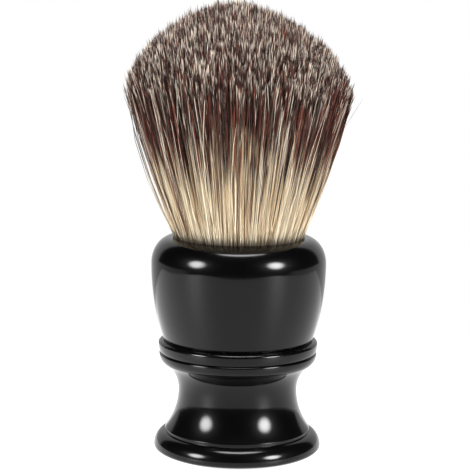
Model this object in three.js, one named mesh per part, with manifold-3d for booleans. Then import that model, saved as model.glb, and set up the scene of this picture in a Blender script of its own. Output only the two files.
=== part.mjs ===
// A shaving brush that stands on its foot: a black moulded handle in two shells with a double bead
// between them, a metal weight and a tie screw inside, and a fan-shaped knot of hair.
// Millimetres, +Z up, origin at the centre of the foot, on the surface that the brush stands on.

import * as THREE from "three";
import { mergeVertices } from "three/addons/utils/BufferGeometryUtils.js";
import Module from "manifold-3d";

const wasm = await Module();
wasm.setup();

// ---------------------------------------------------------------- driving dimensions

const AROUND = 36; // sides of the turned pieces that show
const AROUND_HIDDEN = 18; // sides of the turned pieces inside the handle
const GAP = 0.3; // clearance between soft solids
const FIT = 0.1; // clearance between turned pieces that slide into each other

const FOOT = { baseRadius: 15.4, radius: 17.88, widest: 1.2, top: 4.25, topRadius: 15.4 };
const COVE_END = { radius: 15.5, z: 4.9 };
const WAIST = { radius: 12.7, z: 13.3 };
const LOWER_BEAD = { radius: 16.83, z: 21.05, share: 0.26 }; // share of the ogee that bulges
const GROOVE = { radius: 16.45, z: 21.45 };
const UPPER_BEAD = { radius: 17.0, z: 23.3 };
const SEAM = { radius: 15.9, z: 24.1 };
const BOWL = { radius: 18.55, z: 40.4, squareness: 0.97 };
const MOUTH = { radius: 14.0, z: 46.1 };

const SOCKET = { radius: 13.75, floor: 28.2 };
const SPIGOT = { radius: 10.6, wall: 1.8, bottom: 19.6 };
const BOSS = { radius: 4.8, bottom: 16.2, boreRadius: 2.9, boreTop: 24.0 };
const SHELF = { radius: 2.9, bottom: 12.6, top: 15.4 };
const CAVITY = { radius: 9.6, footRadius: 13.4, coneBottom: 4.6, coneTop: 8.6 };
const CAP = { radius: 14.5, thickness: 1.6, bevel: 0.4 };
const WEIGHT = { footRadius: 12.8, neckRadius: 9.2, bottom: 1.9, boreRadius: 2.4, counterbore: 4.2 };
const SCREW = { radius: 2.0, headRadius: 3.5, headBottom: 3.0, headTop: 5.4, top: 22.8 };
const WASHER = { radius: 3.9, thickness: 0.6 };
const INSERT = { bottom: 16.6, top: 23.6 };

const CUP = { wall: 0.8, floor: 1.0, adhesive: 0.3, top: 40.5 };
const PLUG = { top: 37.4 };
const TWINE = { cord: 0.55, turns: 3, z: 38.2 };
const HAIR = { widestRadius: 23.8, widestZ: 75.5, top: 95.2, fan: 1.15, dome: 1.8 };
const PIVOT_Z = MOUTH.z; // the tuft bends about the middle of the mouth
const ROOT_SPHERE = 19.6; // hair nearer to the pivot than this stays still
const LOCK_RINGS = [
  { name: "centre", count: 1, inner: 0, outer: 0.34 },
  { name: "inner", count: 6, inner: 0.34, outer: 0.68 },
  { name: "outer", count: 12, inner: 0.68, outer: 1 },
];

// ---------------------------------------------------------------- finishes

const finish = (color, roughness, metalness) =>
  new THREE.MeshStandardMaterial({ color, roughness, metalness });

const BLACK_GLOSS = finish(0x0b0b0c, 0.08, 0);
const BLACK_MATT = finish(0x1a1a1a, 0.5, 0);
const STEEL = finish(0x9a9c9e, 0.35, 1);
const IRON = finish(0x4a4a4c, 0.6, 1);
const BRASS = finish(0xb08d3f, 0.3, 1);
const IVORY = finish(0xe2d6b8, 0.4, 0);
const RESIN = finish(0xc9a45c, 0.2, 0);
const TWINE_WHITE = finish(0xe8e2d2, 0.9, 0);
const HAIR_ROOT = finish(0xd8c49c, 0.7, 0);
const HAIR_GREY = finish(0x6b5c55, 0.7, 0);

// ---------------------------------------------------------------- shared shapes

const point = (radius, z) => new THREE.Vector2(radius, z);

/** Points on an elliptical quarter, from one corner point to another; it leaves `from` upright
 *  when `uprightFirst` is set, and level when it isn't. Squareness under 1 fills the corner. */
function quarter(from, to, uprightFirst, steps, squareness = 1) {
  return Array.from({ length: steps + 1 }, (_, i) => {
    const angle = (i / steps) * (Math.PI / 2);
    const rise = Math.pow(Math.sin(angle), squareness);
    const reach = 1 - Math.pow(Math.cos(angle), squareness);
    const across = uprightFirst ? reach : rise;
    const along = uprightFirst ? rise : reach;
    return point(
      THREE.MathUtils.lerp(from.x, to.x, across),
      THREE.MathUtils.lerp(from.y, to.y, along),
    );
  });
}

/** Points on a circular arc that is upright at `apex` and passes through `end`. */
function archFrom(apex, end, steps) {
  const depth = end.x - apex.x;
  const height = end.y - apex.y;
  const radius = (height * height + depth * depth) / (2 * Math.abs(depth));
  return Array.from({ length: steps + 1 }, (_, i) => {
    const z = (height * i) / steps;
    const x = Math.sign(depth) * (radius - Math.sqrt(radius * radius - z * z));
    return point(apex.x + x, apex.y + z);
  });
}

/** Points on an S-curve, upright at both ends, of two arcs that meet smoothly; the arc at `hollow`
 *  is concave, and the arc at `crest`, which has the given share of the curve, bulges. */
function ogee(hollow, crest, share, steps) {
  const turn = 2 * Math.atan2(crest.x - hollow.x, crest.y - hollow.y);
  const radii = (crest.y - hollow.y) / Math.sin(turn);
  const place = (end, radius, side, angle) =>
    point(end.x + side * radius * (1 - Math.cos(angle)), end.y + side * radius * Math.sin(angle));
  const angles = Array.from({ length: steps + 1 }, (_, i) => (turn * i) / steps);
  const concave = angles.map((angle) => place(hollow, radii * (1 - share), 1, angle));
  const bulge = angles.map((angle) => place(crest, radii * share, -1, angle)).reverse();
  return [...concave, ...bulge.slice(1)];
}

/** A body turned about Z from its outline, which runs upwards on its outer side. */
function turned(outline, sides = AROUND) {
  return new THREE.LatheGeometry(outline, sides).rotateX(Math.PI / 2);
}

/** The outline of a ring, closed on itself. */
const closed = (outline) => [...outline, outline[0].clone()];

/** A plain hidden ring between two radii and two heights. */
function ring(inner, outer, bottom, top) {
  const outline = [point(inner, bottom), point(outer, bottom), point(outer, top), point(inner, top)];
  return turned(closed(outline), AROUND_HIDDEN);
}

/** A plain hidden disc. */
function disc(radius, bottom, top) {
  const outline = [point(0, bottom), point(radius, bottom), point(radius, top), point(0, top)];
  return turned(outline, AROUND_HIDDEN);
}

function solidOf(geometry) {
  const bare = geometry.clone().deleteAttribute("normal").deleteAttribute("uv");
  const merged = mergeVertices(bare, 1e-4);
  const vertProperties = merged.attributes.position.array;
  const triVerts = new Uint32Array(merged.index.array);
  return new wasm.Manifold(new wasm.Mesh({ numProp: 3, vertProperties, triVerts }));
}

function geometryOf(solid) {
  const { vertProperties, triVerts } = solid.getMesh();
  const geometry = new THREE.BufferGeometry();
  geometry.setAttribute("position", new THREE.BufferAttribute(vertProperties, 3));
  geometry.setIndex(new THREE.BufferAttribute(triVerts, 1));
  return geometry;
}

function piece(name, geometry, material) {
  const mesh = new THREE.Mesh(geometry, material);
  mesh.name = name;
  return mesh;
}

// ---------------------------------------------------------------- handle

/** Upper casing: bellied bowl with the socket for the knot, a spigot and a boss underneath. */
function handleBowl() {
  const seam = point(SEAM.radius, SEAM.z);
  const belly = point(BOWL.radius, BOWL.z);
  const mouth = point(MOUTH.radius, MOUTH.z);
  const outside = [
    ...archFrom(belly, seam, 8).reverse(),
    ...quarter(belly, mouth, true, 8, BOWL.squareness).slice(1),
  ];
  const spigotInner = SPIGOT.radius - SPIGOT.wall;
  const underside = [
    point(0, BOSS.boreTop),
    point(BOSS.boreRadius, BOSS.boreTop),
    point(BOSS.boreRadius, BOSS.bottom),
    point(BOSS.radius, BOSS.bottom),
    point(BOSS.radius, SEAM.z),
    point(spigotInner, SEAM.z),
    point(spigotInner, SPIGOT.bottom),
    point(SPIGOT.radius, SPIGOT.bottom),
    point(SPIGOT.radius, SEAM.z),
  ];
  const socket = [
    point(SOCKET.radius, MOUTH.z),
    point(SOCKET.radius, SOCKET.floor),
    point(0, SOCKET.floor),
  ];
  return piece("handle_bowl", turned([...underside, ...outside, ...socket]), BLACK_GLOSS);
}

/** The upper bead: a ring held between the bowl and the pedestal. */
function collarRing() {
  const bore = SPIGOT.radius + FIT;
  const bead = point(UPPER_BEAD.radius, UPPER_BEAD.z);
  const outline = [
    point(bore, GROOVE.z),
    ...quarter(point(GROOVE.radius, GROOVE.z), bead, false, 3),
    ...quarter(bead, point(SEAM.radius, SEAM.z), true, 5).slice(1),
    point(bore, SEAM.z),
  ];
  return piece("collar_ring", turned(closed(outline)), BLACK_GLOSS);
}

/** Lower casing: lower bead, waist and foot, hollow, with a shelf that the weight hangs under. */
function handlePedestal() {
  const foot = point(FOOT.radius, FOOT.widest);
  const waist = point(WAIST.radius, WAIST.z);
  const bead = point(LOWER_BEAD.radius, LOWER_BEAD.z);
  const outside = [
    ...quarter(point(FOOT.baseRadius, 0), foot, false, 3),
    ...quarter(foot, point(FOOT.topRadius, FOOT.top), true, 5).slice(1),
    ...archFrom(waist, point(COVE_END.radius, COVE_END.z), 6).reverse(),
    ...ogee(waist, bead, LOWER_BEAD.share, 4).slice(1),
    ...quarter(bead, point(GROOVE.radius, GROOVE.z), true, 2).slice(1),
  ];
  const bore = SPIGOT.radius + FIT;
  const inside = [
    point(bore, GROOVE.z),
    point(bore, SHELF.top + GAP),
    point(bore - GAP, SHELF.top),
    point(SHELF.radius, SHELF.top),
    point(SHELF.radius, SHELF.bottom),
    point(CAVITY.radius, SHELF.bottom),
    point(CAVITY.radius, CAVITY.coneTop),
    point(CAVITY.footRadius, CAVITY.coneBottom),
    point(CAVITY.footRadius, CAP.thickness),
    point(CAP.radius + FIT, CAP.thickness),
    point(CAP.radius + FIT, 0),
  ];
  return piece("handle_pedestal", turned(closed([...outside, ...inside])), BLACK_GLOSS);
}

/** Disc that closes the foot, flush with its rim. */
function baseCap() {
  const { radius, thickness, bevel } = CAP;
  const outline = [
    point(0, 0),
    point(radius - bevel, 0),
    point(radius, bevel),
    point(radius, thickness),
    point(0, thickness),
  ];
  return piece("base_cap", turned(outline), BLACK_MATT);
}

/** Turned slug under the shelf, wide in the foot, with a counterbore for the screw's head. */
function baseWeight() {
  const washerTop = SCREW.headTop + WASHER.thickness;
  const outline = [
    point(WEIGHT.counterbore, WEIGHT.bottom),
    point(WEIGHT.footRadius, WEIGHT.bottom),
    point(WEIGHT.footRadius, CAVITY.coneBottom),
    point(WEIGHT.neckRadius, CAVITY.coneTop),
    point(WEIGHT.neckRadius, SHELF.bottom),
    point(WEIGHT.boreRadius, SHELF.bottom),
    point(WEIGHT.boreRadius, washerTop),
    point(WEIGHT.counterbore, washerTop),
  ];
  return piece("base_weight", turned(closed(outline), AROUND_HIDDEN), IRON);
}

/** Screw with a domed head at the bottom, and the shank up into the brass insert. */
function tieScrew() {
  const rim = point(SCREW.headRadius, SCREW.headTop);
  const outline = [
    ...quarter(point(0, SCREW.headBottom), rim, false, 3),
    point(SCREW.radius, SCREW.headTop),
    point(SCREW.radius, SCREW.top),
    point(0, SCREW.top),
  ];
  return piece("tie_screw", turned(outline, AROUND_HIDDEN), STEEL);
}

function screwWasher() {
  const bottom = SCREW.headTop;
  const shape = ring(SCREW.radius + FIT, WASHER.radius, bottom, bottom + WASHER.thickness);
  return piece("screw_washer", shape, STEEL);
}

function threadedInsert() {
  const shape = ring(SCREW.radius + FIT, BOSS.boreRadius - FIT, INSERT.bottom, INSERT.top);
  return piece("threaded_insert", shape, BRASS);
}

// ---------------------------------------------------------------- knot

/** Thin bed of set adhesive on the floor of the socket. */
function socketAdhesive() {
  const top = SOCKET.floor + CUP.adhesive;
  return piece("socket_adhesive", disc(SOCKET.radius - FIT, SOCKET.floor, top), RESIN);
}

const CUP_BOTTOM = SOCKET.floor + CUP.adhesive;
const CUP_OUTER = SOCKET.radius - FIT;
const CUP_INNER = CUP_OUTER - CUP.wall;

/** Cup that the root end of the knot is cast in. */
function knotCup() {
  const outline = [
    point(0, CUP_BOTTOM),
    point(CUP_OUTER, CUP_BOTTOM),
    point(CUP_OUTER, CUP.top),
    point(CUP_INNER, CUP.top),
    point(CUP_INNER, CUP_BOTTOM + CUP.floor),
    point(0, CUP_BOTTOM + CUP.floor),
  ];
  return piece("knot_cup", turned(outline), IVORY);
}

function knotPlug() {
  return piece("knot_plug", disc(CUP_INNER - FIT, CUP_BOTTOM + CUP.floor, PLUG.top), RESIN);
}

const TWINE_INNER = CUP_INNER - 2 * TWINE.cord - FIT;

/** Turns of twine round the bundle, lying against each other. */
function bindingTwine() {
  const lobe = (turn) => {
    const middle = TWINE.z + (2 * turn + 1) * TWINE.cord;
    const below = point(TWINE_INNER + TWINE.cord, middle - TWINE.cord);
    const crest = point(TWINE_INNER + 2 * TWINE.cord, middle);
    const above = point(TWINE_INNER + TWINE.cord, middle + TWINE.cord);
    return [...quarter(below, crest, false, 2), ...quarter(crest, above, true, 2).slice(1, -1)];
  };
  const lobes = Array.from({ length: TWINE.turns }, (_, turn) => lobe(turn)).flat();
  const top = TWINE.z + 2 * TWINE.turns * TWINE.cord;
  const outline = [
    point(TWINE_INNER, TWINE.z),
    ...lobes,
    point(TWINE_INNER + TWINE.cord, top),
    point(TWINE_INNER, top),
  ];
  return piece("binding_twine", turned(closed(outline)), TWINE_WHITE);
}

/** Height of the dome of hair tips at a radius. */
function domeHeight(radius) {
  const share = Math.pow(radius / HAIR.widestRadius, HAIR.dome);
  const rise = HAIR.top - HAIR.widestZ;
  return HAIR.widestZ + rise * Math.pow(Math.max(1 - share, 0), 1 / HAIR.dome);
}

/** The way a hair takes: `share` is its place from the axis to the edge, `along` its length. */
function hairPath(share, along) {
  const tip = domeHeight(share * HAIR.widestRadius);
  const spread = along * (HAIR.fan - (HAIR.fan - 1) * along);
  const radius = share * THREE.MathUtils.lerp(MOUTH.radius - GAP, HAIR.widestRadius, spread);
  return point(radius, THREE.MathUtils.lerp(MOUTH.z, tip, along));
}

const HAIR_STEPS = 6;

/** One turned layer of the fan of hair, between two shares of its width. */
function hairLayer(inner, outer) {
  const steps = Array.from({ length: HAIR_STEPS + 1 }, (_, i) => i / HAIR_STEPS);
  const outside = steps.map((along) => hairPath(outer, along));
  const tips = [0.75, 0.5, 0.25].map((t) => hairPath(THREE.MathUtils.lerp(inner, outer, t), 1));
  if (inner === 0) return turned([point(0, MOUTH.z), ...outside, ...tips, hairPath(0, 1)]);
  const clearance = GAP / MOUTH.radius;
  const inside = steps.map((along) => hairPath(inner + clearance, along)).reverse();
  return turned(closed([...outside, ...tips, ...inside]));
}

/** A ball about the pivot: hair inside it is fixed, and hair outside it bends. */
function pivotBall(radius) {
  const outline = quarter(point(0, -radius), point(radius, 0), false, 4)
    .concat(quarter(point(radius, 0), point(0, radius), true, 6).slice(1));
  return solidOf(turned(outline).translate(0, 0, PIVOT_Z));
}

/** The part of the hair that stays still: in the cup, through the twine, and over the mouth. */
function hairRoots() {
  const bundle = TWINE_INNER - FIT;
  const twineTop = TWINE.z + 2 * TWINE.turns * TWINE.cord;
  const stem = turned([
    point(0, PLUG.top),
    point(bundle, PLUG.top),
    point(bundle, twineTop + GAP),
    point(MOUTH.radius - GAP - FIT, MOUTH.z),
    point(0, MOUTH.z),
  ]);
  const stub = solidOf(hairLayer(0, 1)).intersect(pivotBall(ROOT_SPHERE));
  return piece("hair_roots", geometryOf(solidOf(stem).add(stub)), HAIR_ROOT);
}

/** An upright wedge of a full turn's share, set back from its neighbours by half the gap. */
function wedge(index, count) {
  const half = Math.PI / count;
  const reach = 3 * HAIR.widestRadius;
  const shape = new THREE.Shape([
    point(0, 0),
    point(reach * Math.cos(half), -reach * Math.sin(half)),
    point(reach * Math.cos(half), reach * Math.sin(half)),
  ]);
  const depth = HAIR.top - MOUTH.z + 2 * GAP;
  const geometry = new THREE.ExtrudeGeometry(shape, { depth, bevelEnabled: false });
  geometry.translate(GAP / (2 * Math.sin(half)), 0, MOUTH.z - GAP);
  return solidOf(geometry.rotateZ((2 * Math.PI * index) / count));
}

/** The hair that bends, split into locks. */
function hairLocks() {
  const fixed = pivotBall(ROOT_SPHERE + GAP);
  return LOCK_RINGS.flatMap(({ name, count, inner, outer }) => {
    const layer = solidOf(hairLayer(inner, outer)).subtract(fixed);
    if (count === 1) return [piece(`hair_lock_${name}`, geometryOf(layer), HAIR_GREY)];
    return Array.from({ length: count }, (_, i) => {
      const lock = layer.intersect(wedge(i, count));
      return piece(`hair_lock_${name}_${i + 1}`, geometryOf(lock), HAIR_GREY);
    });
  });
}

// ---------------------------------------------------------------- assembly

const handle = new THREE.Group();
handle.add(handleBowl(), collarRing(), handlePedestal(), baseCap(), baseWeight());
handle.add(tieScrew(), screwWasher(), threadedInsert());

const knot = new THREE.Group();
knot.add(socketAdhesive(), knotCup(), knotPlug(), bindingTwine(), hairRoots(), ...hairLocks());

const group = new THREE.Group();
group.add(handle, knot);

export default group;
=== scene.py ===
"""Dress a shaving brush: polished black handle, hidden fittings, and a knot of separate hairs."""

import logging
import math
from dataclasses import dataclass, field
from enum import Enum
from typing import Callable, TypeAlias

import bmesh
import bpy
import numpy as np
from mathutils import Matrix, Vector


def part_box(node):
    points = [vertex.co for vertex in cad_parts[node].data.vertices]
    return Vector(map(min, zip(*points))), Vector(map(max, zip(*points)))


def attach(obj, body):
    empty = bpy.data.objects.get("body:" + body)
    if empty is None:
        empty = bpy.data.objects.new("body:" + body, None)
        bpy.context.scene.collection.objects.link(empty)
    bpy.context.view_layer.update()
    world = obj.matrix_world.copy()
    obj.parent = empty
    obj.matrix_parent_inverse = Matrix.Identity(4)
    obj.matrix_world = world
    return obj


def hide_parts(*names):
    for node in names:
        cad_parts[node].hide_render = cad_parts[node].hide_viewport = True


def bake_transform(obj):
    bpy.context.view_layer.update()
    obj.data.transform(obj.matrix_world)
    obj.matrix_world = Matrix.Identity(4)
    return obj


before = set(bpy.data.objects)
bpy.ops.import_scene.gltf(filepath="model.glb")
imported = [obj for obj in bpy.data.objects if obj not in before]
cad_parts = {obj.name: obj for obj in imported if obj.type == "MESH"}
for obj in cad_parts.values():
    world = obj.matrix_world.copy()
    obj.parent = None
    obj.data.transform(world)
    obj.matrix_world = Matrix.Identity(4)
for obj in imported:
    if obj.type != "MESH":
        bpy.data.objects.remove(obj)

log = logging.getLogger("shaving_brush")

MM = 0.001
HANDLE_BODY = "handle"

Point = tuple[float, float]
Triple = tuple[float, float, float]
Outline = list[Point]
Relief = Callable[[float, float, float], float]
Number: TypeAlias = "Value | float"
Socket = bpy.types.NodeSocket
Material = bpy.types.Material
Mesh = bpy.types.Mesh


def srgb(*channels: int) -> Triple:
    """Linear light of a display colour, given as red, green and blue from 0 to 255."""
    shares = [channel / 255 for channel in channels]
    return tuple(share / 12.92 if share <= 0.04045 else ((share + 0.055) / 1.055) ** 2.4
                 for share in shares)


# ------------------------------------------------------------------ shader expressions


class Value:
    """A number that varies over a surface: a socket, with arithmetic that adds Math nodes."""

    def __init__(self, graph: "Graph", socket: Socket) -> None:
        """Wrap a socket of a graph."""
        self.graph = graph
        self.socket = socket

    def math(self, operation: str, *others: Number, clamp: bool = False) -> "Value":
        """Add a Math node that has this as its first operand."""
        return self.graph.math(operation, self, *others, clamp=clamp)

    def __add__(self, other: Number) -> "Value":
        """Sum."""
        return self.math("ADD", other)

    __radd__ = __add__

    def __sub__(self, other: Number) -> "Value":
        """Difference."""
        return self.math("SUBTRACT", other)

    def __rsub__(self, other: Number) -> "Value":
        """Difference from a number."""
        return self.graph.math("SUBTRACT", other, self)

    def __mul__(self, other: Number) -> "Value":
        """Product."""
        return self.math("MULTIPLY", other)

    __rmul__ = __mul__

    def __truediv__(self, other: Number) -> "Value":
        """Quotient."""
        return self.math("DIVIDE", other)

    def __pow__(self, other: Number) -> "Value":
        """Power."""
        return self.math("POWER", other)

    def floor(self) -> "Value":
        """Whole part."""
        return self.math("FLOOR")

    def absolute(self) -> "Value":
        """Size without the sign."""
        return self.math("ABSOLUTE")

    def step(self, low: Number, high: Number) -> "Value":
        """Smooth rise from 0 at low to 1 at high."""
        share = ((self - low) / (high - low)).math("ADD", 0.0, clamp=True)
        return share * share * (3.0 - 2.0 * share)


class Graph:
    """The node tree of a material or a world, emptied and ready for new nodes."""

    def __init__(self, tree: bpy.types.NodeTree) -> None:
        """Take over a tree."""
        self.tree = tree
        tree.nodes.clear()

    def node(self, kind: str, settings: dict | None = None, **inputs: object) -> bpy.types.Node:
        """Add a node.

        Args:
            kind: The node's type, without the ShaderNode prefix.
            settings: Its properties.
            inputs: Values or links of its sockets, by socket name with _ for a space.

        Returns:
            The node.
        """
        made = self.tree.nodes.new("ShaderNode" + kind)
        for key, setting in (settings or {}).items():
            setattr(made, key, setting)
        for key, value in inputs.items():
            self.feed(made.inputs[key.replace("_", " ")], value)
        return made

    def feed(self, socket: Socket, value: object) -> None:
        """Link a value or a socket into an input, or set a plain number or colour there.

        Args:
            socket: The input.
            value: What it takes.
        """
        if isinstance(value, Value):
            value = value.socket
        if isinstance(value, Socket):
            self.tree.links.new(value, socket)
        elif socket.type == "RGBA":
            socket.default_value = (*value, 1.0)
        else:
            socket.default_value = value

    def math(self, operation: str, *operands: Number, clamp: bool = False) -> Value:
        """Add a Math node with its operands.

        Args:
            operation: The node's operation.
            operands: Values or numbers.
            clamp: Whether the result is kept between 0 and 1.

        Returns:
            The node's result.
        """
        made = self.node("Math", {"operation": operation, "use_clamp": clamp})
        for socket, operand in zip(made.inputs, operands):
            self.feed(socket, operand)
        return Value(self, made.outputs[0])

    def mix(self, share: Number, first: object, second: object) -> Socket:
        """Blend two colours.

        Args:
            share: How much of the second colour shows.
            first: A colour or a colour socket.
            second: A colour or a colour socket.

        Returns:
            The blended colour.
        """
        made = self.node("Mix", {"data_type": "RGBA"})
        self.feed(made.inputs[0], share)
        self.feed(made.inputs[6], first)
        self.feed(made.inputs[7], second)
        return made.outputs[2]

    def object_point(self) -> Socket:
        """Object coordinates."""
        return self.node("TexCoord").outputs["Object"]

    def parts(self, vector: Socket) -> tuple[Value, Value, Value]:
        """Split a vector or a colour into its three parts."""
        made = self.node("SeparateXYZ", Vector=vector)
        return tuple(Value(self, output) for output in made.outputs)

    def noise(self, size: float, detail: float = 2.0, stretch: Triple = (1, 1, 1)) -> Value:
        """Fractal noise in object space.

        Args:
            size: Size of its largest features, in metres.
            detail: Number of finer layers.
            stretch: How many times closer the pattern is along each axis.

        Returns:
            The noise, about 0.5 on average.
        """
        place = self.node("Mapping", Vector=self.object_point(), Scale=stretch).outputs[0]
        made = self.node("TexNoise", Vector=place, Scale=1 / size, Detail=detail)
        return Value(self, made.outputs[0])

    def bump(self, height: Value, depth: float) -> Socket:
        """Turn a height from 0 to 1 into the normal of a relief that is depth metres deep."""
        return self.node("Bump", Height=height, Distance=depth).outputs[0]

    def finish(self, **inputs: object) -> None:
        """Put a Principled shader on the output, its inputs named as in node()."""
        self.node("OutputMaterial", Surface=self.node("BsdfPrincipled", **inputs).outputs[0])


def surface(name: str) -> tuple[Material, Graph]:
    """Make an empty material.

    Args:
        name: The material's name.

    Returns:
        The material and its graph.
    """
    material = bpy.data.materials.new(name)
    material.use_nodes = True
    return material, Graph(material.node_tree)


# ------------------------------------------------------------------ finishes


@dataclass(frozen=True)
class PolishedResin:
    """Black moulded resin, buffed to a mirror, with faint handling marks."""

    name: str = "polished_black_resin"
    deep: Triple = srgb(2, 2, 2)
    cloudy: Triple = srgb(5, 5, 6)
    gloss: float = 0.085
    rubbed: float = 0.14
    index: float = 1.31
    haze: float = 0.11
    haze_roughness: float = 0.3
    seam_height: float = 24.1 * MM

    def material(self) -> Material:
        """Build the finish: cloudy base, rubbed patches, moulding ripple and seam beads.

        Returns:
            The material.
        """
        material, graph = surface(self.name)
        cloud = graph.noise(9 * MM, 3)
        rub = graph.noise(2.2 * MM, 5, (1, 1, 2.5)).step(0.52, 0.78)
        lint = graph.noise(0.25 * MM, 2).step(0.74, 0.8)
        ripple = graph.noise(5 * MM, 1)
        _, _, height = graph.parts(graph.object_point())
        at_seam = 1.0 - (height - self.seam_height).absolute().step(0.1 * MM, 0.55 * MM)
        squeeze = graph.noise(0.7 * MM, 2).step(0.56, 0.72) * at_seam
        worn = rub * 0.5 + lint * 0.3
        graph.finish(Base_Color=graph.mix(cloud, self.deep, self.cloudy),
                     Roughness=self.gloss + (self.rubbed - self.gloss) * worn, IOR=self.index,
                     Coat_Weight=self.haze * (0.8 + 0.4 * cloud + 0.6 * lint),
                     Coat_Roughness=self.haze_roughness,
                     Normal=graph.bump(ripple * 0.3 + squeeze, 0.06 * MM))
        return material


@dataclass(frozen=True)
class Grained:
    """A matt moulded or cast surface: two close tones, uneven gloss and a fine grain."""

    name: str
    dark: Triple
    light: Triple
    smooth: float
    rough: float
    grain: float
    depth: float
    metal: float = 0.0
    stretch: Triple = (1, 1, 1)

    def material(self) -> Material:
        """Build the finish.

        Returns:
            The material.
        """
        material, graph = surface(self.name)
        blotch = graph.noise(4 * self.grain, 4, self.stretch)
        fine = graph.noise(self.grain, 3, self.stretch)
        graph.finish(Base_Color=graph.mix(blotch, self.dark, self.light), Metallic=self.metal,
                     Roughness=self.smooth + (self.rough - self.smooth) * blotch,
                     Normal=graph.bump(fine, self.depth))
        return material


HAIR_MAP = "OFBake"
HAIR_KINDS = 128
HAIR_SPAN = 56 * MM  # the map's height: distance from the tip that it covers
SEED_ATTRIBUTE = "lock_seed"
SEED_STEP = 151.0


@dataclass(frozen=True)
class BadgerHair:
    """Hair by its kind and its distance from the tip: pale tip, dark band, cream root, and
    painted shade at the mouth.
    """

    name: str = "badger_hair"
    cream: Triple = srgb(249, 238, 211)
    tan: Triple = srgb(208, 180, 142)
    russet: Triple = srgb(134, 96, 68)
    maroon: Triple = srgb(118, 60, 46)
    umber: Triple = srgb(33, 20, 18)
    ash: Triple = srgb(102, 80, 69)
    tip_light: Triple = srgb(220, 205, 189)
    tip_dark: Triple = srgb(26, 16, 14)
    silver: Triple = srgb(232, 218, 200)
    band_end: Triple = (3.4, 12.5, 4.5)  # mm from the tip: least, spread, more at the sides
    band_fade: float = 6.5
    half_width: float = 20 * MM
    # painted shade near the mouth: the hair darkens below these heights, with a ragged edge
    mouth_shade_low: float = 45.8 * MM
    mouth_shade_high: float = 47.6 * MM
    mouth_shade_ragged: float = 2.6 * MM
    roughness: float = 0.34
    index: float = 1.3

    @staticmethod
    def dice(graph: Graph, kind: Value, salt: float) -> tuple[Value, Value, Value]:
        """Three random numbers from 0 to 1 for each kind of hair, different for each salt."""
        noise = graph.node("TexWhiteNoise", {"noise_dimensions": "1D"}, W=kind + salt)
        return graph.parts(noise.outputs["Color"])

    def material(self) -> Material:
        """Build the finish.

        Returns:
            The material.
        """
        material, graph = surface(self.name)
        place = graph.node("UVMap", {"uv_map": HAIR_MAP}).outputs[0]
        across, along, _ = graph.parts(place)
        attribute = graph.node("Attribute", {"attribute_name": SEED_ATTRIBUTE})
        seed = Value(graph, attribute.outputs["Fac"])
        kind = (across * float(HAIR_KINDS)).floor() + seed
        reach, hue, shade = self.dice(graph, kind, 0.31)
        tip_tone, tip_reach, paleness = self.dice(graph, kind, 0.57)
        from_tip = (1.0 - along) * (HAIR_SPAN / MM)
        side, _, height = graph.parts(graph.object_point())
        sideways = (side / self.half_width).absolute().step(0.3, 1.0)
        least, spread, more = self.band_end
        end = least + spread * reach + more * sideways
        rooted = from_tip.step(end, end + self.band_fade)
        root = graph.mix(hue.step(0.15, 0.9), self.cream, self.tan)
        root = graph.mix(tip_reach.step(0.92, 0.97), root, self.russet)
        band = graph.mix(hue.step(0.2, 0.7), self.maroon, self.umber)
        band = graph.mix(shade.step(0.7, 1.0), band, self.ash)
        tip = graph.mix(tip_tone.step(0.77, 0.92), self.tip_dark, self.tip_light)
        tipped = 1.0 - from_tip.step(0.2 + 0.8 * tip_reach, 0.8 + 2.0 * tip_reach)
        colour = graph.mix(rooted, band, root)
        colour = graph.mix(tipped * 0.85, colour, tip)
        pale = paleness.step(0.85, 0.9) * (1.0 - rooted) * 0.92
        colour = graph.mix(pale, colour, self.silver)
        # painted shade: the hair turns dark towards the mouth, as if shaded by the rim
        mouth_shade = 1.0 - height.step(self.mouth_shade_low, self.mouth_shade_high + self.mouth_shade_ragged * hue)
        colour = graph.mix(mouth_shade * 0.88, colour, self.tip_dark)
        graph.finish(Base_Color=colour, Roughness=self.roughness + 0.2 * shade, IOR=self.index)
        return material


# ------------------------------------------------------------------ outlines


def quarter(start: Point, end: Point, upright_first: bool, steps: int = 12,
            squareness: float = 1.0) -> Outline:
    """Points on an elliptical quarter.

    Args:
        start: First point, as radius and height.
        end: Last point.
        upright_first: Whether it leaves start upright; otherwise it leaves it level.
        steps: Number of stretches.
        squareness: Under 1 fills the corner.

    Returns:
        The points.
    """
    points = []
    for index in range(steps + 1):
        angle = index / steps * math.pi / 2
        rise = math.sin(angle) ** squareness
        reach = 1 - max(math.cos(angle), 0.0) ** squareness
        across, along = (reach, rise) if upright_first else (rise, reach)
        points.append((start[0] + (end[0] - start[0]) * across,
                       start[1] + (end[1] - start[1]) * along))
    return points


def arch(apex: Point, end: Point, steps: int) -> Outline:
    """Points on a circular arc that is upright at its apex.

    Args:
        apex: First point.
        end: Last point.
        steps: Number of stretches.

    Returns:
        The points.
    """
    depth, height = end[0] - apex[0], end[1] - apex[1]
    radius = (height ** 2 + depth ** 2) / (2 * abs(depth))
    points = []
    for index in range(steps + 1):
        z = height * index / steps
        reach = radius - math.sqrt(radius ** 2 - z ** 2)
        points.append((apex[0] + math.copysign(reach, depth), apex[1] + z))
    return points


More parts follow.
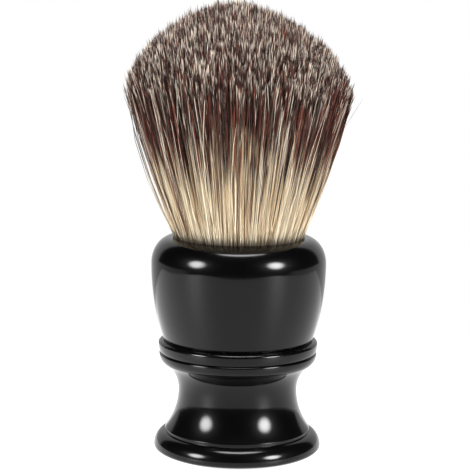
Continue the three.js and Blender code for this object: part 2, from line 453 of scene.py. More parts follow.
def ogee(hollow: Point, crest: Point, share: float, steps: int) -> Outline:
    """Points on an S-curve of two arcs that meet smoothly, upright at both ends.

    Args:
        hollow: Lower end, on the concave arc.
        crest: Upper end, on the bulging arc.
        share: The bulging arc's share of the curve.
        steps: Number of stretches of each arc.

    Returns:
        The points.
    """
    turn = 2 * math.atan2(crest[0] - hollow[0], crest[1] - hollow[1])
    radii = (crest[1] - hollow[1]) / math.sin(turn)
    angles = [turn * index / steps for index in range(steps + 1)]

    def on_arc(end: Point, radius: float, side: int, angle: float) -> Point:
        """Point on one arc, by the angle turned from its upright end."""
        return (end[0] + side * radius * (1 - math.cos(angle)),
                end[1] + side * radius * math.sin(angle))

    concave = [on_arc(hollow, radii * (1 - share), 1, angle) for angle in angles]
    bulge = [on_arc(crest, radii * share, -1, angle) for angle in reversed(angles)]
    return concave + bulge[1:]


def evened(outline: Outline, stride: float) -> Outline:
    """Split the long stretches of an outline, so that relief has vertices to move.

    Args:
        outline: The outline, in millimetres.
        stride: Longest stretch left.

    Returns:
        The denser outline.
    """
    dense = outline[:1]
    for (r0, z0), (r1, z1) in zip(outline, outline[1:]):
        parts = max(1, math.ceil(math.hypot(r1 - r0, z1 - z0) / stride))
        dense += [(r0 + (r1 - r0) * part / parts, z0 + (z1 - z0) * part / parts)
                  for part in range(1, parts + 1)]
    return dense


# ------------------------------------------------------------------ making pieces


def as_mesh(name: str, shape: bmesh.types.BMesh) -> Mesh:
    """Turn a shape into a smooth shaded mesh, and free it.

    Args:
        name: The mesh's name.
        shape: The shape.

    Returns:
        The mesh.
    """
    for face in shape.faces:
        face.smooth = True
    mesh = bpy.data.meshes.new(name)
    shape.to_mesh(mesh)
    shape.free()
    return mesh


def add_object(mesh: Mesh, finish: Material) -> bpy.types.Object:
    """Put a mesh in the scene.

    Args:
        mesh: The mesh, whose name the object takes.
        finish: Its material.

    Returns:
        The object.
    """
    mesh.materials.append(finish)
    made = bpy.data.objects.new(mesh.name, mesh)
    bpy.context.scene.collection.objects.link(made)
    return made


class Edge(Enum):
    """How the sharp rings of a turned piece are broken: chamfer in millimetres."""

    KEEN = 0.0
    FINE = 0.06
    EASED = 0.14
    SOFT = 0.3


class Blank:
    """A mesh being shaped; it becomes a piece of the brush when it is placed."""

    def __init__(self) -> None:
        """Start from nothing."""
        self.shape = bmesh.new()

    @classmethod
    def turned(cls, outline: Outline, sides: int = 144, closed: bool = False,
               edge: Edge = Edge.EASED) -> "Blank":
        """Turn an outline about the upright axis.

        Args:
            outline: Radii and heights, in millimetres.
            sides: Number of sides of the turned piece.
            closed: Whether the last point joins the first.
            edge: How the sharp rings are broken.

        Returns:
            The blank.
        """
        blank = cls()
        shape = blank.shape
        points = [shape.verts.new((radius * MM, 0, height * MM)) for radius, height in outline]
        ends = zip(points, points[1:] + points[:1]) if closed else zip(points, points[1:])
        edges = [shape.edges.new(pair) for pair in ends]
        bmesh.ops.spin(shape, geom=points + edges, cent=(0, 0, 0), axis=(0, 0, 1),
                       angle=2 * math.pi, steps=sides, use_merge=True)
        blank.tidy()
        if edge is not Edge.KEEN:
            blank.break_edges(edge.value * MM)
        return blank

    def tidy(self) -> None:
        """Merge doubles and face every face outwards."""
        shape = self.shape
        bmesh.ops.remove_doubles(shape, verts=shape.verts, dist=0.001 * MM)
        bmesh.ops.dissolve_degenerate(shape, edges=shape.edges, dist=0.0005 * MM)
        bmesh.ops.recalc_face_normals(shape, faces=shape.faces)

    def break_edges(self, width: float) -> None:
        """Round off the edges that turn by more than 35 degrees.

        Args:
            width: How much is taken off each side, in metres.
        """
        limit = math.radians(35.0)
        sharp = [edge for edge in self.shape.edges if edge.calc_face_angle(0.0) > limit]
        bmesh.ops.bevel(self.shape, geom=sharp, offset=width, offset_type="OFFSET",
                        affect="EDGES", segments=2, profile=0.5, material=-1,
                        clamp_overlap=True)

    def carve(self, relief: Relief) -> "Blank":
        """Move every vertex towards the upright axis by a rule.

        Args:
            relief: Share of its radius that a vertex keeps, from its radius in millimetres,
                its angle round the axis in radians and its height in millimetres.

        Returns:
            The blank itself.
        """
        for vertex in self.shape.verts:
            x, y, z = vertex.co
            kept = relief(math.hypot(x, y) / MM, math.atan2(y, x), z / MM)
            vertex.co = (x * kept, y * kept, z)
        return self

    def place(self, name: str, body: str, slot: str, finish: Material, *nodes: str) -> None:
        """Add the piece to the brush, smooth shaded where it turns by less than 50 degrees.

        Args:
            name: The piece's name.
            body: The body that it rides on.
            slot: Not used.
            finish: Its material.
            nodes: The plain solids that it stands for.
        """
        piece = add_object(as_mesh(name, self.shape), finish)
        piece.data.set_sharp_from_angle(angle=math.radians(50.0))
        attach(piece, body)
        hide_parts(*nodes)
        log.info("%s: %d faces, on %s", name, len(piece.data.polygons), body)


def extent(node: str) -> Triple:
    """Radius, bottom and top of a turned solid, in millimetres."""
    low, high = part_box(node)
    return high.x / MM, low.z / MM, high.z / MM


# ------------------------------------------------------------------ handle


@dataclass
class Handle:
    """The black casing in three turned pieces, with the cap that closes its foot.

    Sizes are in millimetres; a pair is a radius and a height, unless a comment says otherwise.
    """

    waist: Point = (12.7, 13.3)
    groove_radius: float = 16.45
    bead_bulge: float = 0.26
    lower_crest: Point = (16.83, 0.4)  # radius, and how far below the top
    upper_crest: float = 0.8
    seam_radius: float = 15.9
    mouth_radius: float = 14.0
    mouth_drop: float = 5.7
    squareness: float = 0.97
    socket: Point = (13.75, 28.2)
    spigot: Point = (10.6, 8.8)  # outer and inner radius
    spigot_length: float = 1.85
    boss: Point = (4.8, 2.9)  # outer radius, and radius of its bore
    bore_top: float = 24.0
    foot_base: float = 15.4
    foot_widest: float = 1.2
    foot_top: Point = (15.4, 4.25)
    cove_end: Point = (15.5, 4.9)
    shelf: Triple = (2.9, 12.6, 15.4)  # radius of its bore, bottom and top
    cavity: tuple[Point, Point] = ((9.6, 8.6), (13.4, 4.6))
    fit: float = 0.1
    relief: float = 0.3
    resin: PolishedResin = PolishedResin()
    plastic: Grained = Grained("moulded_base_plastic", srgb(24, 24, 25), srgb(38, 38, 40),
                               0.42, 0.6, 0.5 * MM, 0.02 * MM)

    def build(self) -> None:
        """Make the four pieces."""
        black = self.resin.material()
        for blank, name, node in ((self.bowl(), "bowl_casing", "handle_bowl"),
                                  (self.collar(), "upper_bead_ring", "collar_ring"),
                                  (self.pedestal(), "pedestal_casing", "handle_pedestal")):
            blank.place(name, HANDLE_BODY, "handle_gloss", black, node)
        self.cap().place("foot_cap", HANDLE_BODY, "base_plastic", self.plastic.material(),
                         "base_cap")

    def bowl(self) -> Blank:
        """Turn the bowl, with its socket, spigot and screw boss.

        Returns:
            The blank.
        """
        radius, bottom, top = extent("handle_bowl")
        seam_height = extent("collar_ring")[2]
        belly = (radius, top - self.mouth_drop)
        mouth = (self.mouth_radius, top)
        spigot_radius, wall_radius = self.spigot
        spigot_bottom = extent("handle_pedestal")[2] - self.spigot_length
        boss_radius, bore = self.boss
        inside = [(0, self.bore_top), (bore, self.bore_top), (bore, bottom),
                  (boss_radius, bottom), (boss_radius, seam_height),
                  (wall_radius, seam_height), (wall_radius, spigot_bottom),
                  (spigot_radius, spigot_bottom), (spigot_radius, seam_height)]
        outside = arch(belly, (self.seam_radius, seam_height), 20)[::-1]
        outside += quarter(belly, mouth, True, 24, self.squareness)[1:]
        socket_radius, floor = self.socket
        socket = [(socket_radius, top), (socket_radius, floor), (0, floor)]
        return Blank.turned(inside + outside + socket, edge=Edge.FINE)

    def collar(self) -> Blank:
        """Turn the upper bead.

        Returns:
            The blank.
        """
        radius, bottom, top = extent("collar_ring")
        bore = self.spigot[0] + self.fit
        crest = (radius, top - self.upper_crest)
        outline = [(bore, bottom), *quarter((self.groove_radius, bottom), crest, False),
                   *quarter(crest, (self.seam_radius, top), True)[1:], (bore, top)]
        return Blank.turned(outline, closed=True, edge=Edge.FINE)

    def pedestal(self) -> Blank:
        """Turn the lower bead, the waist and the foot, hollow, with the shelf inside.

        Returns:
            The blank.
        """
        radius, _, top = extent("handle_pedestal")
        foot = (radius, self.foot_widest)
        crest = (self.lower_crest[0], top - self.lower_crest[1])
        outside = quarter((self.foot_base, 0), foot, False)
        outside += quarter(foot, self.foot_top, True, 18)[1:]
        outside += arch(self.waist, self.cove_end, 24)[::-1]
        outside += ogee(self.waist, crest, self.bead_bulge, 18)[1:]
        outside += quarter(crest, (self.groove_radius, top), True, 8)[1:]
        bore = self.spigot[0] + self.fit
        shelf_radius, shelf_bottom, shelf_top = self.shelf
        neck, foot_wall = self.cavity
        cap_radius, _, cap_top = extent("base_cap")
        inside = [(bore, top), (bore, shelf_top + self.relief),
                  (bore - self.relief, shelf_top), (shelf_radius, shelf_top),
                  (shelf_radius, shelf_bottom), (neck[0], shelf_bottom), neck, foot_wall,
                  (foot_wall[0], cap_top), (cap_radius + self.fit, cap_top),
                  (cap_radius + self.fit, 0)]
        return Blank.turned(outside + inside, closed=True, edge=Edge.FINE)

    def cap(self) -> Blank:
        """Turn the foot cap: chamfered rim, and a shallow recess inside a standing rim.

        Returns:
            The blank.
        """
        radius, _, top = extent("base_cap")
        chamfer, rim, recess = 0.4, 2.2, 0.35
        outline = [(0, recess), (radius - rim - recess, recess), (radius - rim, 0),
                   (radius - chamfer, 0), (radius, chamfer), (radius, top), (0, top)]
        return Blank.turned(outline, edge=Edge.FINE)


# ------------------------------------------------------------------ fittings inside the handle


@dataclass
class Fittings:
    """The weight and the screw that hold the handle together and upright, in millimetres."""

    thread_pitch: float = 0.7
    thread_depth: float = 0.18
    socket_across: float = 1.3
    knurls: int = 24
    clearance: float = 2.1
    iron: Grained = Grained("turned_iron", srgb(82, 82, 84), srgb(112, 110, 108), 0.35, 0.6,
                            0.25 * MM, 0.02 * MM, 0.9, (1, 1, 6))
    steel: Grained = Grained("plated_steel", srgb(178, 180, 184), srgb(205, 207, 210), 0.18,
                             0.34, 0.4 * MM, 0.008 * MM, 1.0, (1, 1, 3))
    brass: Grained = Grained("rolled_brass", srgb(186, 148, 82), srgb(214, 178, 108), 0.2,
                             0.36, 0.4 * MM, 0.01 * MM, 1.0)

    def build(self) -> None:
        """Make the four pieces."""
        iron, steel, brass = (finish.material() for finish in (self.iron, self.steel, self.brass))
        for blank, name, slot, finish, node in (
                (self.weight(), "turned_weight", "weight_iron", iron, "base_weight"),
                (self.screw(), "threaded_tie_screw", "fastener_steel", steel, "tie_screw"),
                (self.washer(), "flat_washer", "fastener_steel", steel, "screw_washer"),
                (self.insert(), "knurled_insert", "insert_brass", brass, "threaded_insert")):
            blank.place(name, HANDLE_BODY, slot, finish, node)

    def weight(self) -> Blank:
        """Turn the slug, wide in the foot, with a bore and a counterbore for the screw.

        Returns:
            The blank.
        """
        radius, bottom, top = extent("base_weight")
        washer_top = extent("screw_washer")[2]
        counterbore, bore = 4.2, 2.4
        wide_top, neck, neck_bottom = 4.6, 9.2, 8.6
        outline = [(counterbore, bottom), (radius, bottom), (radius, wide_top),
                   (neck, neck_bottom), (neck, top), (bore, top), (bore, washer_top),
                   (counterbore, washer_top)]
        return Blank.turned(outline, 96, closed=True, edge=Edge.SOFT)

    def screw(self) -> Blank:
        """Turn the screw, press a hexagon into its head and roll the thread on its shank.

        Returns:
            The blank.
        """
        _, bottom, top = extent("tie_screw")
        head_radius, head_top = 3.5, 5.4
        shank, thread_bottom, hex_depth, point, stride = 2.0, 9.0, 1.2, 0.6, 0.12
        root, close = shank - self.thread_depth, 0.01
        press_top = bottom + hex_depth
        dome = quarter((0, bottom), (head_radius, head_top), False)
        rim = [(radius, height) for radius, height in dome if radius > self.socket_across * 1.25]
        outline = [(0, press_top), (self.socket_across, press_top),
                   (self.socket_across, bottom), *rim, (shank, head_top)]
        outline += evened([(shank, head_top), (shank, top - point), (root, top), (0, top)],
                          stride)[1:]

        def relief(radius: float, angle: float, height: float) -> float:
            """Hexagon below the head's face, thread on the shank.

            Args:
                radius: Radius of a vertex.
                angle: Its angle round the axis.
                height: Its height.

            Returns:
                Share of its radius that it keeps.
            """
            if abs(radius - self.socket_across) < close and height < press_top + close:
                flat = (angle % (math.pi / 3)) - math.pi / 6
                return math.cos(math.pi / 6) / math.cos(flat)
            if abs(radius - shank) < close and height > thread_bottom:
                phase = (height / self.thread_pitch - angle / (2 * math.pi)) % 1
                return 1 - self.thread_depth / shank * abs(2 * phase - 1)
            return 1.0

        return Blank.turned(outline, 48, edge=Edge.KEEN).carve(relief)

    def washer(self) -> Blank:
        """Turn the washer, with its rims eased.

        Returns:
            The blank.
        """
        radius, bottom, top = extent("screw_washer")
        bore = self.clearance
        outline = [(bore, bottom), (radius, bottom), (radius, top), (bore, top)]
        return Blank.turned(outline, 72, closed=True, edge=Edge.EASED)

    def insert(self) -> Blank:
        """Turn the brass insert and knurl two bands round it.

        Returns:
            The blank.
        """
        radius, bottom, top = extent("threaded_insert")
        bore, neck, bite = self.clearance, 0.35, 0.12
        middle = (bottom + top) / 2
        outline = [(bore, bottom), (radius - neck, bottom), (radius, bottom + neck),
                   (radius, middle - neck), (radius - neck, middle - neck / 2),
                   (radius - neck, middle + neck / 2), (radius, middle + neck),
                   (radius, top - neck), (radius - neck, top), (bore, top)]

        def relief(reach: float, angle: float, _height: float) -> float:
            """Leave every other line of the outer face low."""
            line = round(angle / (2 * math.pi) * self.knurls * 2)
            return 1 - bite / radius if reach > radius - 0.02 and line % 2 else 1.0

        return Blank.turned(outline, self.knurls * 2, closed=True, edge=Edge.KEEN).carve(relief)


# ------------------------------------------------------------------ root end of the knot


@dataclass(frozen=True)
class Cord:
    """Waxed two-ply cotton, with its plies running round at a slant."""

    name: str = "waxed_twine"
    pale: Triple = srgb(228, 220, 200)
    ply_valley_tone: Triple = srgb(196, 184, 156)
    ply: float = 0.9

    def material(self) -> Material:
        """Build the finish.

        Returns:
            The material.
        """
        material, graph = surface(self.name)
        x, y, z = graph.parts(graph.object_point())
        turn = graph.math("ARCTAN2", y, x) * (12.0 / self.ply)
        plies = (turn + z * (2 * math.pi / (self.ply * MM))).math("SINE") * 0.5 + 0.5
        fluff = graph.noise(0.15 * MM, 4)
        # darker between the plies and where the fluff is low, lighter on the ply crowns
        graph.finish(Base_Color=graph.mix(plies * 0.7 + fluff * 0.3, self.ply_valley_tone, self.pale),
                     Roughness=0.7 + 0.2 * fluff,
                     Normal=graph.bump(plies + fluff * 0.3, 0.12 * MM))
        return material


@dataclass(frozen=True)
class RootHair:
    """Pale hair packed side by side: upright streaks of cream, tan and brown, with painted shade
    between them.
    """

    name: str = "packed_root_hair"
    cream: Triple = srgb(222, 202, 160)
    brown: Triple = srgb(122, 88, 58)
    shadow: Triple = srgb(52, 36, 26)

    def material(self) -> Material:
        """Build the finish.

        Returns:
            The material.
        """
        material, graph = surface(self.name)
        streak = graph.noise(0.9 * MM, 4, (1, 1, 0.06))
        # painted shade in the narrow gaps between the packed hairs
        shaded_gaps = graph.noise(0.35 * MM, 2, (1, 1, 0.05)).step(0.5, 0.36)
        tone = graph.mix(streak.step(0.35, 0.65), self.cream, self.brown)
        graph.finish(Base_Color=graph.mix(shaded_gaps, tone, self.shadow),
                     Roughness=0.5 + 0.3 * streak,
                     Normal=graph.bump(streak - shaded_gaps, 0.15 * MM))
        return material


@dataclass
class RootEnd:
    """What holds the hair: adhesive, cup, cast plug, twine, and packed roots, in millimetres."""

    cup_wall: float = 0.8
    cup_floor: float = 1.0
    cord: float = 0.55
    turns: int = 3
    fit: float = 0.1
    over_mouth: float = 3.2
    neck: float = 12.9
    shoulder: float = 0.3
    lip: Point = (0.5, 1.0)
    meniscus: Point = (2.0, 0.5)
    resin: Grained = Grained("set_amber_resin", srgb(168, 120, 52), srgb(198, 152, 82), 0.08,
                             0.2, 1.2 * MM, 0.03 * MM)
    ivory: Grained = Grained("moulded_ivory", srgb(222, 212, 184), srgb(234, 226, 202), 0.35,
                             0.5, 0.6 * MM, 0.01 * MM)
    twine: Cord = Cord()
    hair: RootHair = RootHair()

    def build(self) -> None:
        """Make the five pieces."""
        resin, ivory = self.resin.material(), self.ivory.material()
        twine, hair = self.twine.material(), self.hair.material()
        for blank, name, slot, finish, node in (
                (self.adhesive(), "adhesive_bed", "resin", resin, "socket_adhesive"),
                (self.cup(), "moulded_cup", "cup_plastic", ivory, "knot_cup"),
                (self.plug(), "cast_plug", "resin", resin, "knot_plug"),
                (self.wrapping(), "wrapped_twine", "twine", twine, "binding_twine"),
                (self.bundle(), "root_bundle", "hair", hair, "hair_roots")):
            blank.place(name, HANDLE_BODY, slot, finish, node)

    def adhesive(self) -> Blank:
        """Turn the bed of adhesive, squeezed out unevenly at its edge.

        Returns:
            The blank.
        """
        radius, bottom, top = extent("socket_adhesive")

        def squeeze(_radius: float, angle: float, _height: float) -> float:
            """Pull the edge in by a little that varies round it."""
            wave = 0.5 + 0.25 * math.sin(3 * angle + 1) + 0.25 * math.sin(7 * angle)
            return 1 - 0.03 * wave

        outline = evened([(0, bottom), (radius, bottom), (radius, top), (0, top)], 1.5)
        return Blank.turned(outline, 96, edge=Edge.FINE).carve(squeeze)

    def cup(self) -> Blank:
        """Turn the cup.

        Returns:
            The blank.
        """
        radius, bottom, top = extent("knot_cup")
        inner, floor = radius - self.cup_wall, bottom + self.cup_floor
        outline = [(0, bottom), (radius, bottom), (radius, top), (inner, top), (inner, floor),
                   (0, floor)]
        return Blank.turned(outline, edge=Edge.EASED)

    def plug(self) -> Blank:
        """Turn the cast plug, with the meniscus that resin climbs to at its edge.

        Returns:
            The blank.
        """
        radius, bottom, top = extent("knot_plug")
        climb, sag = self.meniscus
        surface_line = quarter((radius, top), (radius - climb, top - sag), True, 6)
        outline = [(0, bottom), (radius, bottom), *surface_line, (0, top - sag)]
        return Blank.turned(outline, 96, edge=Edge.FINE)

    def wrapping(self) -> Blank:
        """Wind a cord round the bundle, each turn against the last.

        Returns:
            The blank.
        """
        radius, bottom, _ = extent("binding_twine")
        blank, sides, per_turn = Blank(), 10, 72
        start = Matrix.Translation(((radius - self.cord) * MM, 0, (bottom + self.cord) * MM))
        ring = bmesh.ops.create_circle(blank.shape, cap_ends=False, segments=sides,
                                       radius=self.cord * 0.98 * MM,
                                       matrix=start @ Matrix.Rotation(math.pi / 2, 4, "X"))
        edges = list({edge for vertex in ring["verts"] for edge in vertex.link_edges})
        wound = self.turns - 1
        bmesh.ops.spin(blank.shape, geom=ring["verts"] + edges, cent=(0, 0, 0),
                       axis=(0, 0, 1), angle=2 * math.pi * wound, steps=per_turn * wound,
                       dvec=(0, 0, 2 * self.cord * MM / per_turn), use_merge=False)
        bmesh.ops.holes_fill(blank.shape, edges=blank.shape.edges, sides=sides)
        blank.tidy()
        return blank

    def bundle(self) -> Blank:
        """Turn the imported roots, ridged like a sheaf, with a low dome above the mouth.

        Returns:
            The blank.
        """
        twine_radius, _, twine_top = extent("binding_twine")
        _, _, plug_top = extent("knot_plug")
        mouth = extent("handle_bowl")[2]
        stem = twine_radius - 2 * self.cord - self.fit
        dome = (self.neck + self.lip[0], mouth + self.lip[1])
        outline = [(0, plug_top), (stem, plug_top), (stem, twine_top + self.shoulder),
                   (self.neck, mouth), dome]
        outline += quarter(dome, (0, mouth + self.over_mouth), True, 10)[1:]

        def ridge(_radius: float, angle: float, _height: float) -> float:
            """Groove the sides into strands of uneven width."""
            wave = math.sin(61 * angle + 2 * math.sin(5 * angle)) * math.sin(23 * angle + 1)
            return 1 - 0.012 * (1 + wave)

        return Blank.turned(evened(outline, 1.2), 216, edge=Edge.KEEN).carve(ridge)


# ------------------------------------------------------------------ tuft


class Ring(Enum):
    """The rings of locks: count, inner and outer share of the tuft's width, and hairs each."""

    CENTRE = (1, 0.0, 0.34, 3600)
    INNER = (6, 0.34, 0.68, 1900)
    OUTER = (12, 0.68, 1.0, 2200)

    @property
    def nodes(self) -> list[str]:
        """Names of the ring's plain solids.

        Returns:
            The names, in order round the ring.
        """
        base = f"hair_lock_{self.name.lower()}"
        count = self.value[0]
        return [base] if count == 1 else [f"{base}_{index + 1}" for index in range(count)]


@dataclass
class Hairs:
    """The hairs of one lock, one entry of each array for one hair."""

    share: np.ndarray
    angle: np.ndarray
    longer: np.ndarray
    pull: np.ndarray
    astray: np.ndarray
    drift: np.ndarray
    kind: np.ndarray
    thick: np.ndarray


@dataclass
class Tuft:
    """A fan of separate hairs, in the locks that the plain solids divide it into.

    Lengths are in millimetres, and places along a hair are shares of its length.
    """

    widest: float = 23.8
    widest_height: float = 76.3
    top: float = 95.2
    dome: float = 1.72
    throat: float = 13.7
    root_height: float = 41.8
    pinch: float = 0.92
    clump_pitch: float = 0.5
    clump_pull: Point = (0.3, 0.8)
    uneven: float = 0.42
    uneven_limits: Point = (-3.0, 2.2)
    clump_uneven: float = 0.52
    shorter: float = 0.4
    cropped_share: float = 0.4
    cropped_by: float = 6.0
    cropped_most: float = 14.0
    right_dip: float = 1.0
    dip_reach: float = 14.0
    left_flare: float = 0.03
    drift: float = 0.35
    drift_most: float = 0.5
    wanderers: float = 0.12
    wander: float = 3.0
    wave: float = 0.38
    wave_most: float = 2.4
    wave_turns: float = 4.2
    same_kind: float = 0.5
    thickness: Point = (0.07, 0.105)
    tip_thickness: float = 0.055
    taper: float = 1.8
    strays: int = 3
    astray: Point = (0.3, 2.0)
    stray_curl: float = 2.4
    bend_length: float = 25.0
    stations: tuple[float, ...] = (0.13, 0.3, 0.48, 0.72, 0.97)
    pitch: float = 10.0
    seed: int = 20
    finish: BadgerHair = BadgerHair()
    rows: dict[int, Mesh] = field(default_factory=dict)

    def build(self) -> None:
        """Make a lock of hair for each plain solid."""
        finish = self.finish.material()
        number = 0
        for ring in Ring:
            _, _, _, hairs_each = ring.value
            for index, node in enumerate(ring.nodes):
                rng = np.random.default_rng(self.seed + number)
                mesh = self.straight_row(hairs_each).copy()
                mesh.name = node + "_hairs"
                self.comb(mesh, self.draw(ring, index, rng), rng, number)
                self.place(mesh, node, finish)
                number += 1

    def place(self, mesh: Mesh, node: str, finish: Material) -> None:
        """Add one lock to the brush.

        Args:
            mesh: The combed hairs.
            node: The plain solid that they stand for.
            finish: The hair's material.
        """
        lock = add_object(mesh, finish)
        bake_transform(lock)
        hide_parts(node)

    def straight_row(self, count: int) -> Mesh:
        """Set up a row of straight unit hairs, one every pitch along X.

        Args:
            count: Number of hairs.

        Returns:
            The mesh, kept for the other locks of the same size.
        """
        if count in self.rows:
            return self.rows[count]
        row = bmesh.new()
        bmesh.ops.create_cone(row, cap_ends=True, segments=3, radius1=1, radius2=0, depth=1,
                              matrix=Matrix.Translation((0, 0, 0.5)))
        bmesh.ops.remove_doubles(row, verts=row.verts, dist=1e-5)
        for height in self.stations:
            bmesh.ops.bisect_plane(row, geom=row.verts[:] + row.edges[:] + row.faces[:],
                                   plane_co=(0, 0, height), plane_no=(0, 0, 1))
        bmesh.ops.recalc_face_normals(row, faces=row.faces)
        copies = 1
        while copies < count:
            twins = bmesh.ops.duplicate(row, geom=row.verts[:] + row.edges[:] + row.faces[:])
            moved = [item for item in twins["geom"] if isinstance(item, bmesh.types.BMVert)]
            bmesh.ops.translate(row, verts=moved, vec=(copies * self.pitch, 0, 0))
            copies *= 2
        spare = [vertex for vertex in row.verts if vertex.co.x > (count - 0.5) * self.pitch]
        bmesh.ops.delete(row, geom=spare, context="VERTS")
        self.rows[count] = as_mesh(f"hair_row_{count}", row)
        return self.rows[count]

    def tip_height(self, share: np.ndarray) -> np.ndarray:
        """Height of the dome of tips, by share of its width."""
        fall = np.clip(1 - np.clip(share, 0, 1) ** self.dome, 0, 1) ** (1 / self.dome)
        return self.widest_height + (self.top - self.widest_height) * fall

    def draw(self, ring: Ring, index: int, rng: np.random.Generator) -> Hairs:
        """Draw the hairs of a lock: their places, lengths, clumps and kinds.

        Args:
            ring: The ring of locks.
            index: Which lock of the ring.
            rng: The lock's own random numbers.

        Returns:
            The hairs.
        """
        locks, inner, outer, count = ring.value
        middle, half = 2 * math.pi * index / locks, math.pi / locks
        share = np.sqrt(rng.uniform(inner ** 2, outer ** 2, count))
        angle = middle + rng.uniform(-half, half, count)
        tips = share[:, None] * self.widest * np.stack([np.cos(angle), np.sin(angle)], 1)
        area = math.pi * self.widest ** 2 * (outer ** 2 - inner ** 2) / locks
        chosen = rng.choice(count, max(3, int(area / self.clump_pitch ** 2)), replace=False)
        nearest = np.argmin(((tips[:, None] - tips[None, chosen]) ** 2).sum(2), 1)
        strength = rng.uniform(*self.clump_pull, len(chosen))[nearest]
        pull = (tips[chosen][nearest] - tips) * strength[:, None]
        longer = np.clip(rng.normal(0, self.uneven, count), *self.uneven_limits)
        longer += rng.normal(0, self.clump_uneven, len(chosen))[nearest]
        longer -= self.shorter + self.right_dip * np.clip(tips[:, 0] / self.dip_reach, -0.4, 1)
        cropped = rng.random(count) < self.cropped_share
        crop = np.minimum(rng.exponential(self.cropped_by, count), self.cropped_most)
        longer -= cropped * crop * share ** 3
        drift = rng.normal(0, self.drift, (count, 2))
        drift = np.clip(drift, -self.drift_most, self.drift_most)
        drift[rng.random(count) < self.wanderers] *= self.wander
        kind = rng.integers(0, HAIR_KINDS, count)
        shared = rng.integers(0, HAIR_KINDS, len(chosen))[nearest]
        kind = np.where(rng.random(count) < self.same_kind, shared, kind)
        astray = np.zeros(count)
        if ring is Ring.OUTER:
            astray[:self.strays] = rng.uniform(*self.astray, self.strays)
            share[:self.strays] = rng.uniform(0.9, 1.0, self.strays)
        thick = rng.uniform(*self.thickness, count)
        thick[astray > 0] *= 0.5
        return Hairs(share, angle, longer, pull, astray, drift, kind, thick)

    def comb(self, mesh: Mesh, hairs: Hairs, rng: np.random.Generator,
             number: int) -> None:
        """Lay a row of straight hairs along their ways, and map each from its tip.

        Args:
            mesh: The row, changed in place.
            hairs: Where its hairs go.
            rng: The lock's own random numbers.
            number: The lock's number, which varies its colours.
        """
        count = len(hairs.share)
        flat = np.empty(len(mesh.vertices) * 3, np.float32)
        mesh.vertices.foreach_get("co", flat)
        straight = flat.reshape(-1, 3).astype(float)
        strand = np.clip(np.rint(straight[:, 0] / self.pitch).astype(int), 0, count - 1)
        corner = np.arctan2(straight[:, 1], straight[:, 0] - strand * self.pitch)
        along = straight[:, 2]
        at_tip = along > 0.999

        mouth = extent("handle_bowl")[2]
        dome = self.tip_height(hairs.share)
        length = (dome + hairs.longer - self.root_height)[strand]
        height = self.root_height + along * length
        rise = np.clip((height - mouth) / (dome[strand] - mouth), 0, 1.04)
        below = np.clip((mouth - height) / (mouth - self.root_height), 0, 1)
        reach = self.throat + (self.widest - self.throat) * rise
        reach *= 1 - (1 - self.pinch) * below
        angle = hairs.angle[strand]
        radius = hairs.share[strand] * reach + hairs.astray[strand] * rise ** self.stray_curl
        leftward = np.clip(-np.cos(angle), 0, 1)
        radius *= 1 + self.left_flare * leftward * rise * (1.3 - rise)

        phase, turn = rng.uniform(0, 2 * math.pi, (2, count))
        size = np.minimum(rng.gamma(2.0, self.wave / 2, count), self.wave_most * self.wave)
        size[:self.strays] *= 1 + hairs.astray[:self.strays]
        sway = size[strand] * rise * np.sin(phase[strand] + self.wave_turns * rise)
        across = hairs.pull[strand] * rise[:, None] ** 2
        across += hairs.drift[strand] * (4 * rise * (1 - rise))[:, None]
        x = radius * np.cos(angle) + across[:, 0] + sway * np.cos(turn)[strand]
        y = radius * np.sin(angle) + across[:, 1] + sway * np.sin(turn)[strand]

        from_tip = (1 - along) * length
        full = hairs.thick[strand] * (1 - 0.15 * below)
        tapered = np.clip(from_tip / self.taper, 0, 1) ** 0.7
        girth = self.tip_thickness + (full - self.tip_thickness) * tapered
        girth[at_tip] = 0
        placed = np.stack([x + girth * np.cos(corner + turn[strand]),
                           y + girth * np.sin(corner + turn[strand]), height], 1) * MM
        mesh.vertices.foreach_set("co", placed.astype(np.float32).ravel())

        side = np.rint((corner + math.pi) * 3 / (2 * math.pi)).astype(int) % 3
        column = np.where(at_tip, 0.5, 0.2 + 0.3 * side)
        self.colour_map(mesh, (hairs.kind[strand] + column) / HAIR_KINDS, from_tip, number)
        mesh.update()

    @staticmethod
    def colour_map(mesh: Mesh, across: np.ndarray, from_tip: np.ndarray,
                   number: int) -> None:
        """Give a lock the map and the seed that its colours follow.

        Args:
            mesh: The lock, changed in place.
            across: Place of each vertex across the map, by kind of hair.
            from_tip: Distance of each vertex from the tip of its hair, in millimetres.
            number: The lock's number.
        """
        loops = np.empty(len(mesh.loops), np.int32)
        mesh.loops.foreach_get("vertex_index", loops)
        places = np.stack([across, 1 - from_tip * MM / HAIR_SPAN], 1)[loops]
        layer = mesh.uv_layers.new(name=HAIR_MAP)
        layer.uv.foreach_set("vector", places.astype(np.float32).ravel())
        seeds = mesh.attributes.new(SEED_ATTRIBUTE, "FLOAT", "POINT")
        seed = np.full(len(mesh.vertices), number * SEED_STEP, np.float32)
        seeds.data.foreach_set("value", seed)


# ------------------------------------------------------------------ studio


@dataclass(frozen=True)
class Lamp:
    """A soft round light far off: where it stands, its brightness, and where its edge fades."""

    towards: Triple
    power: float
    core: float
    rim: float


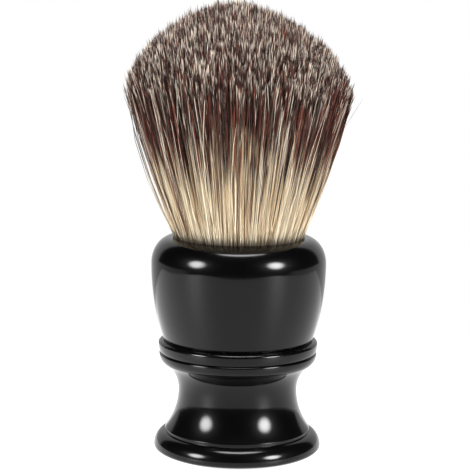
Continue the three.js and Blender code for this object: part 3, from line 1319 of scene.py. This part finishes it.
@dataclass
class Studio:
    """White floor, soft light and the camera."""

    lens: float = 122.55
    sensor: float = 36.0
    camera_place: Triple = (-0.00086, -0.3354, 0.0953)
    tilt: float = 8.3
    roll: float = 0.6
    floor_side: float = 0.25
    floor_front: float = -0.24
    floor_back: float = 0.12
    floor_glow: float = 0.95
    floor_gap: float = 0.02 * MM
    gloom: float = 0.02
    backdrop: float = 0.72
    far_floor: float = 0.65
    backdrop_spread: float = 48.0
    lamps: tuple[Lamp, ...] = (Lamp((-0.802, -0.476, 0.362), 34.0, 1.0, 16.0),
                               Lamp((0.727, -0.572, 0.379), 42.0, 1.0, 16.0))
    overhead: float = 16.0

    def build(self) -> None:
        """Set up the camera, the floor and the light."""
        self.set_camera()
        self.lay_floor()
        self.light()
        bpy.context.scene.view_settings.view_transform = "Standard"

    def set_camera(self) -> None:
        """Stand the camera in front of the brush, a little above it."""
        data = bpy.data.cameras.new("camera")
        data.lens, data.sensor_width = self.lens, self.sensor
        camera = bpy.data.objects.new("camera", data)
        bpy.context.scene.collection.objects.link(camera)
        aim = Matrix.Rotation(math.radians(90 - self.tilt), 4, "X")
        aim @= Matrix.Rotation(math.radians(self.roll), 4, "Z")
        camera.matrix_world = Matrix.Translation(self.camera_place) @ aim
        bpy.context.scene.camera = camera

    def lay_floor(self) -> None:
        """Lay the pale floor that the brush stands on."""
        shape = bmesh.new()
        bmesh.ops.create_grid(shape, x_segments=1, y_segments=1, size=1)
        depth = self.floor_back - self.floor_front
        bmesh.ops.scale(shape, verts=shape.verts, vec=(self.floor_side, depth / 2, 1))
        bmesh.ops.translate(shape, verts=shape.verts,
                            vec=(0, self.floor_front + depth / 2, -self.floor_gap))
        material, graph = surface("white_floor")
        speck = graph.noise(3 * MM, 2)
        x, y, _ = graph.parts(graph.object_point())
        bearing = graph.math("ARCTAN2", x, y * -1.0) * (180 / math.pi)
        lit = 1.0 + 0.4 * (bearing * -1.0).step(15.0, 60.0) + 0.15 * bearing.step(20.0, 55.0)
        white = graph.node("CombineColor", Red=lit, Green=lit, Blue=lit).outputs[0]
        graph.finish(Base_Color=graph.mix(speck, srgb(90, 90, 90), srgb(96, 96, 96)),
                     Roughness=0.5, Emission_Color=white, Emission_Strength=self.floor_glow)
        floor = add_object(as_mesh("floor", shape), material)

    def light(self) -> None:
        """Light the brush: two soft lamps, a wide one overhead, and a bright backdrop."""
        world = bpy.data.worlds.new("studio_light")
        world.use_nodes = True
        bpy.context.scene.world = world
        graph = Graph(world.node_tree)
        way = graph.node("TexCoord").outputs["Generated"]
        glow = graph.math("ADD", self.gloom, 0.0)
        for lamp in self.lamps:
            near = self.nearness(graph, way, lamp.towards)
            low, high = (math.cos(math.radians(angle)) for angle in (lamp.rim, lamp.core))
            glow = glow + near.step(low, high) ** 2.0 * lamp.power
        x, y, z = graph.parts(way)
        high = z.step(0.91, 0.96) * (1.0 - z.step(0.99, 0.999))
        ahead = (y * -1.0).step(0.0, 0.08) * (1.0 - (x - 0.05).absolute().step(0.25, 0.42))
        glow = glow + high * ahead * self.overhead
        edge = math.cos(math.radians(self.backdrop_spread))
        glow = glow.math("MAXIMUM", y.step(edge - 0.08, edge + 0.04) * self.backdrop)
        beyond = (1.0 - z.step(-0.03, 0.01)) * y.step(-0.45, -0.2)
        glow = glow.math("MAXIMUM", beyond * self.far_floor)
        seen = Value(graph, graph.node("LightPath").outputs["Is Camera Ray"])
        glow = glow.math("MAXIMUM", seen)
        shade = graph.node("Background", Color=(1, 1, 1), Strength=glow).outputs[0]
        graph.node("OutputWorld", Surface=shade)

    @staticmethod
    def nearness(graph: Graph, way: Socket, towards: Triple) -> Value:
        """Cosine of the angle between two directions.

        Args:
            graph: The world's graph.
            way: The direction that is lit.
            towards: The direction of a lamp.

        Returns:
            The cosine.
        """
        made = graph.node("VectorMath", {"operation": "DOT_PRODUCT"})
        graph.feed(made.inputs[0], way)
        graph.feed(made.inputs[1], Vector(towards).normalized())
        return Value(graph, made.outputs["Value"])


def main() -> None:
    """Build the brush and its studio."""
    logging.basicConfig(level=logging.INFO, format="%(message)s")
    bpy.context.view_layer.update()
    Studio().build()
    Handle().build()
    Fittings().build()
    RootEnd().build()
    Tuft().build()


if __name__ == "__main__":
    main()
